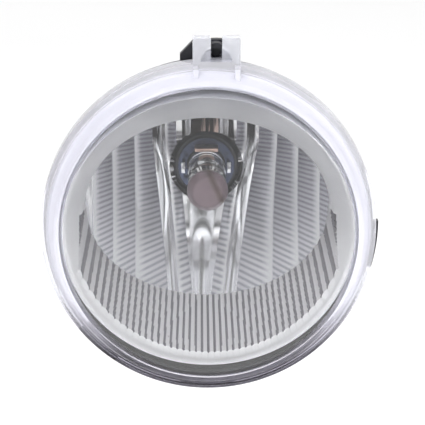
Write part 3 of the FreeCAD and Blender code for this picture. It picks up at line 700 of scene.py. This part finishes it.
def make_bezel():
    """Satin funnel with a bright rounded lip, and fine upright ribs over its lower half."""
    angles = bezel_angles()
    rings = bezel_rings()
    points = []
    for depth, wide, tall, share in rings:
        for angle in angles:
            side = wide * math.cos(angle)
            height = tall * math.sin(angle)
            lift = 1 - rib_rise(angle, side, share) / math.hypot(side, height)
            points.append(at(side * lift, depth, height * lift))
    faces = []
    count = len(angles)
    for ring in range(len(rings)):
        after_ring = (ring + 1) % len(rings)
        for step in range(count):
            after = (step + 1) % count
            faces.append((ring * count + step, ring * count + after,
                          after_ring * count + after, after_ring * count + step))
    bezel = mesh_from("bezel_funnel", points, faces, SATIN)
    bezel.data.materials.append(RIB)
    bezel.data.materials.append(PAINTED_GROOVE_SHADE)
    for polygon in bezel.data.polygons:
        share = rings[polygon.index // count][3]
        side = (polygon.center.x - AXIS.x) / MM
        if share > 0 and polygon.center.z < AXIS.z and abs(side) < RIB_REACH:
            # the grooves take the darker material, painted shade between the ribs
            groove = rib_crown(side, share) < GROOVE_CROWN
            polygon.material_index = 2 if groove else 1
    tidy_normals(bezel)
    shade_by_angle(bezel, 50)
    return finish_piece(bezel, "lamp", "satin_bezel", "bezel")


# ---------------------------------------------------------------- reflector

PARABOLA_GAIN = 44.2
VERTEX_DEPTH = 68.8
BOWL_WIDE = 37.4
BOWL_TALL = 31.0
BOWL_DROP = 0.5
BOWL_WALL = 1.3
BOWL_COLUMNS = 9
ROW_STEP = 0.22
HOLE_R = 11.1
HOLE_MARGIN = 0.5
# how far the fluted bowl stands in front of the CAD node's plain one
BOWL_LIFT = 0.35
FLUTE_BULGE = 0.08
RIPPLE_PITCH = 1.45
RIPPLE_FAN = 0.009
RIPPLE_SHIFT = 0.37
# left edge of each upright flute at bulb height and at the bottom, and whether it is rippled;
# the last row is only the last flute's right edge
FLUTES = [
    (-38.5, -38.5, False), (-33.6, -33.4, True), (-28.0, -27.8, True), (-21.5, -21.3, True),
    (-15.1, -11.9, False), (-11.4, -8.6, True), (-8.0, -4.9, False), (7.2, 1.8, True),
    (10.4, 5.2, False), (14.0, 9.1, True), (20.6, 19.3, True), (27.1, 27.0, True),
    (33.2, 33.0, True), (38.5, 38.5, False),
]
LEVEL_HEIGHT = 4.0
BOTTOM_HEIGHT = -25.0
SLANT_ABOVE = -0.35
SLANT_BELOW = 1.2
CELL_CORNERS = ((0, 0), (0, 1), (1, 1), (1, 0))


def flute_edge(index, height):
    """Side position of a flute's left edge at this height."""
    level, bottom, _ = FLUTES[index]
    share = (LEVEL_HEIGHT - height) / (LEVEL_HEIGHT - BOTTOM_HEIGHT)
    return level + (bottom - level) * max(SLANT_ABOVE, min(SLANT_BELOW, share))


def bowl_depth(side, height):
    """Depth of the plain paraboloid about the bulb's axis."""
    raised = height - BULB_HEIGHT
    return VERTEX_DEPTH - (side * side + raised * raised) / PARABOLA_GAIN


def fluted_depth(index, share, side, height):
    """Depth of the bowl's face, where each flute bulges forward."""
    width = abs(flute_edge(index + 1, height) - flute_edge(index, height))
    bulge = FLUTE_BULGE * width * (1 - (2 * share - 1) ** 2)
    return bowl_depth(side, height) - bulge - BOWL_LIFT


def ripple_place(index, side, height, share):
    """Where a point of a flute lies: across it from its outer edge, and counted in ripples."""
    across = share if side < 0 else 1 - share
    width = abs(flute_edge(index + 1, height) - flute_edge(index, height))
    fan = RIPPLE_FAN * width * (0.5 - across) * (height - LEVEL_HEIGHT)
    return (across, (height - fan) / RIPPLE_PITCH + RIPPLE_SHIFT * index)


def flute_grid(index):
    """Rows of points over one flute, each its side, height and share of the way across."""
    low = -BOWL_TALL - BOWL_DROP
    high = BOWL_TALL - BOWL_DROP
    rows = int((high - low) / ROW_STEP)
    grid = []
    for row in range(rows + 1):
        height = low + (high - low) * row / rows
        left = flute_edge(index, height)
        right = flute_edge(index + 1, height)
        shares = [column / BOWL_COLUMNS for column in range(BOWL_COLUMNS + 1)]
        grid.append([(left + (right - left) * share, height, share) for share in shares])
    return grid


def in_bowl(side, height):
    """Whether a point lies inside the bowl's rim and outside the bulb hole."""
    out = (side / BOWL_WIDE) ** 2 + ((height + BOWL_DROP) / BOWL_TALL) ** 2
    return out < 1.0 and math.hypot(side, height - BULB_HEIGHT) > HOLE_R - HOLE_MARGIN


def bowl_vertex(work, index, side, height, share):
    """A vertex of the bowl, moved out to the hole's round edge if it lies just inside it."""
    reach = math.hypot(side, height - BULB_HEIGHT)
    if HOLE_R - HOLE_MARGIN < reach < HOLE_R:
        side *= HOLE_R / reach
        height = BULB_HEIGHT + (height - BULB_HEIGHT) * HOLE_R / reach
    return work.verts.new(at(side, fluted_depth(index, share, side, height), height))


def add_flute(work, pattern, index):
    """The faces of one flute, with their places in its ripples."""
    grid = flute_grid(index)
    made = {}
    for row in range(len(grid) - 1):
        for column in range(BOWL_COLUMNS):
            spots = [(row + down, column + across) for down, across in CELL_CORNERS]
            cell = [grid[down][across] for down, across in spots]
            if not all(in_bowl(side, height) for side, height, _ in cell):
                continue
            for spot, corner in zip(spots, cell):
                if spot not in made:
                    made[spot] = bowl_vertex(work, index, *corner)
            face = work.faces.new([made[spot] for spot in spots])
            face.material_index = int(FLUTES[index][2])
            for loop, corner in zip(face.loops, cell):
                loop[pattern].uv = ripple_place(index, *corner)


def make_reflector():
    """Thin bright bowl of upright flutes round the bulb hole, in front of the CAD reflector."""
    work = bmesh.new()
    pattern = work.loops.layers.uv.new("flute")
    for index in range(len(FLUTES) - 1):
        add_flute(work, pattern, index)
    bmesh.ops.remove_doubles(work, verts=work.verts, dist=FLUTE_WELD_REACH)
    mesh = bpy.data.meshes.new("reflector_bowl")
    work.to_mesh(mesh)
    work.free()
    bowl = new_object("reflector_bowl", mesh, FLUTE)
    mesh.materials.append(RIPPLED)
    thick = bowl.modifiers.new("wall", "SOLIDIFY")
    thick.thickness = BOWL_WALL * MM
    thick.offset = 1.0 if mesh.polygons[0].normal.y > 0 else -1.0
    apply_modifiers(bowl)
    shade_by_angle(bowl, 20)
    return finish_piece(bowl, "lamp", "chrome_reflector")


# ---------------------------------------------------------------- bulb

GLASS_OUTSIDE = [(0, 32.0), (4.35, 32.0), (5.75, 34.2), (5.75, 67.6), (0, 67.6)]
GLASS_INSIDE = [(0, 61.5), (4.85, 61.5), (4.85, 34.2), (3.65, 32.9), (0, 32.9)]
CAP_SHELL = [(0, 31.75), (4.4, 31.75), (6.0, 34.1), (6.0, 35.4), (5.78, 35.4), (5.78, 34.2),
             (4.35, 32.02), (0, 32.02)]
COIL_R = 0.65
COIL_FRONT = 53.2
COIL_LENGTH = 5.1
COIL_TURNS = 11
STEPS_PER_TURN = 14
# aside from the axis and back from its end of the coil
WIRE_BENDS = [(0.65, 0.0), (1.4, 0.0), (2.2, 0.3), (2.6, 1.1)]
WIRE_ASIDE = 2.6
WIRE_BACK = 61.6
HOLDER_RING = [(5.95, 65.6), (8.6, 65.6), (8.6, 67.6), (5.95, 67.6), (5.95, 65.6)]
# aside, depth and height of the right prong's bends
PRONG_BENDS = [(6.9, 66.0, 0.0), (7.1, 63.0, 0.1), (6.7, 61.2, 0.3), (6.7, 59.8, 0.9)]
FOOT_ASIDE = 6.9
FINGERS = 6
FIRST_FINGER = 30
FINGER_R = 7.2
FINGER_HALF = 0.6
FINGER_FRONT = 64.6
FINGER_BACK = 65.9
STRAP_HALF = 3.5


def make_glass():
    """Capped glass tube."""
    outline = rounded(GLASS_OUTSIDE, 1.2) + rounded(GLASS_INSIDE, 1.0)
    glass = turned("bulb_glass_tube", outline, BULB_GLASS, BULB, 96)
    finish_piece(shade_by_angle(glass, 40), "bulb", "bulb_glass", "bulb_glass")
    cap = turned("bulb_cap_shell", rounded(CAP_SHELL, 0.7), CAP, BULB, 96)
    finish_piece(shade_by_angle(cap, 40), "bulb", "bulb_cap", "bulb_cap")


def make_filament():
    """Coiled filament and the two wires that carry it."""
    coil = []
    steps = STEPS_PER_TURN * COIL_TURNS
    for step in range(steps + 1):
        angle = 2 * math.pi * COIL_TURNS * step / steps
        coil.append(at(COIL_R * math.cos(angle), COIL_FRONT + COIL_LENGTH * step / steps,
                       COIL_R * math.sin(angle), BULB))
    filament = tube("filament_coil", coil, 0.13, TUNGSTEN, 3)
    finish_piece(filament, "bulb", "filament", "bulb_filament")
    wires = []
    for side, end in ((-1, COIL_FRONT), (1, COIL_FRONT + COIL_LENGTH)):
        path = [(aside * side, end + back, 0) for aside, back in WIRE_BENDS]
        path.append((WIRE_ASIDE * side, WIRE_BACK, 0))
        wires.append(tube("wire", [at(*p, BULB) for p in path], 0.3, STEEL, 4))
    finish_piece(join("lead_wire_pair", wires), "bulb", "steel", "bulb_lead_wires")


def make_holder():
    """Pressed ring with fingers and two bent prongs on feet."""
    pieces = [turned("ring", rounded(HOLDER_RING, 0.3)[:-1], BLUED, BULB, 72)]
    for side in (-1, 1):
        path = [(aside * side, depth, height) for aside, depth, height in PRONG_BENDS]
        pieces.append(tube("prong", [at(*p, BULB) for p in path], 0.38, STEEL, 4))
        middle = FOOT_ASIDE * side
        pieces.append(block("foot", (middle - 0.7, 62.6, -1.6), (middle + 0.5, 63.2, 1.7),
                            STEEL, bevel=0.15, segments=2, axis=BULB))
    for finger in range(FINGERS):
        angle = math.radians(FIRST_FINGER + 360 / FINGERS * finger)
        side = FINGER_R * math.cos(angle)
        height = FINGER_R * math.sin(angle)
        pieces.append(block("finger", (side - FINGER_HALF, FINGER_FRONT, height - FINGER_HALF),
                            (side + FINGER_HALF, FINGER_BACK, height + FINGER_HALF), BLUED,
                            bevel=0.2, segments=2, axis=BULB))
    holder = join("glass_holder", pieces)
    finish_piece(shade_by_angle(holder, 40), "bulb", "steel", "bulb_holder")


def make_strap():
    """Flat copper strap above the glass, with a lip across its front end."""
    strap = block("strap", (-STRAP_HALF, 58.8, 6.15), (STRAP_HALF, 65.5, 6.55), COPPER,
                  bevel=0.12, segments=2, axis=BULB)
    lip = block("strap_lip", (-STRAP_HALF, 58.7, 5.9), (STRAP_HALF, 59.2, 6.9), COPPER,
                bevel=0.12, segments=2, axis=BULB)
    strap = shade_by_angle(join("glass_strap", [strap, lip]))
    finish_piece(strap, "bulb", "copper", "bulb_strap")


# ---------------------------------------------------------------- carried CAD nodes

CARRIED_EDGE_ANGLE = 30.0


def repaint(node, material):
    """Gives a CAD node its material and keeps only its real edges sharp."""
    thing = nodes[node]
    thing.data.materials.clear()
    thing.data.materials.append(material)
    for polygon in thing.data.polygons:
        polygon.use_smooth = True
        polygon.material_index = 0
    thing.data.set_sharp_from_angle(angle=math.radians(CARRIED_EDGE_ANGLE))


CARRIED = {
    "housing": BLACK, "lens_seal": SEALANT, "reflector": CHROME, "bezel_screws": STEEL,
    "reflector_screws": STEEL, "pivot_bushing": NYLON, "bulb_base": BASE_BLACK,
    "bulb_oring": RUBBER, "bulb_terminals": BRASS, "aim_screw": BLACK, "aim_retainer": STEEL,
    "aim_nut": NYLON, "vent_cap": RUBBER, "vent_membrane": MEMBRANE,
}


# ---------------------------------------------------------------- studio

FLOOR_DROP = 0.16
FLOOR_HALF = 3000
WORLD_STRENGTH = 0.97
TARGET_DEPTH = 11.8
# place off the target and size in metres, and power in watts
LIGHTS = (("key", (-0.35, -0.55, 0.75), 0.5, 10.0), ("fill", (0.6, -0.4, 0.25), 0.4, 4.0))
CAMERA_AZIMUTH = -0.8
CAMERA_ELEVATION = 14.4
CAMERA_DISTANCE = 0.8
CAMERA_LENS = 237.1
CAMERA_ASIDE = 1.15
CAMERA_LIFT = 4.45


def make_studio():
    """Pale floor, white surroundings, soft lights and the camera."""
    floor = block("floor", (-FLOOR_HALF, -FLOOR_HALF, -40), (FLOOR_HALF, FLOOR_HALF, -39), None)
    floor.location.z = -FLOOR_DROP
    paint = Paint("pale_floor", (0.93, 0.93, 0.93), roughness=0.8)
    paint.vary_colour(paint.noise(size=400.0), (0.92, 0.92, 0.92), (0.94, 0.94, 0.94))
    floor.data.materials.append(paint.material)
    world = bpy.data.worlds.new("studio")
    bpy.context.scene.world = world
    world.use_nodes = True
    background = world.node_tree.nodes["Background"]
    background.inputs["Color"].default_value = (*WHITE, 1.0)
    background.inputs["Strength"].default_value = WORLD_STRENGTH
    target = at(0, TARGET_DEPTH, 0)
    for name, place, size, power in LIGHTS:
        light = bpy.data.lights.new(name, "AREA")
        light.size = size
        light.energy = power
        holder = bpy.data.objects.new(name, light)
        holder.location = target + Vector(place)
        holder.rotation_euler = (target - holder.location).to_track_quat("-Z", "Y").to_euler()
        bpy.context.scene.collection.objects.link(holder)
    make_camera(target)


def make_camera(target):
    """Camera a little above the lamp's axis, looking down at it."""
    azimuth = math.radians(CAMERA_AZIMUTH)
    elevation = math.radians(CAMERA_ELEVATION)
    back = Vector((math.sin(azimuth) * math.cos(elevation),
                   -math.cos(azimuth) * math.cos(elevation), math.sin(elevation)))
    data = bpy.data.cameras.new("camera")
    data.sensor_width = 36.0
    data.lens = CAMERA_LENS
    camera = bpy.data.objects.new("camera", data)
    bpy.context.scene.collection.objects.link(camera)
    turn = (-back).to_track_quat("-Z", "Y")
    aside = turn @ Vector((1.0, 0.0, 0.0)) * CAMERA_ASIDE * MM
    lift = turn @ Vector((0.0, 1.0, 0.0)) * CAMERA_LIFT * MM
    camera.location = target + back * CAMERA_DISTANCE + aside + lift
    camera.rotation_euler = turn.to_euler()
    data.clip_start = 0.01
    data.clip_end = 50.0
    bpy.context.scene.camera = camera
    bpy.context.scene.view_settings.view_transform = "Standard"


make_studio()
make_lens()
make_bezel()
make_reflector()
make_glass()
make_filament()
make_holder()
make_strap()
for carried, coat in CARRIED.items():
    repaint(carried, coat)
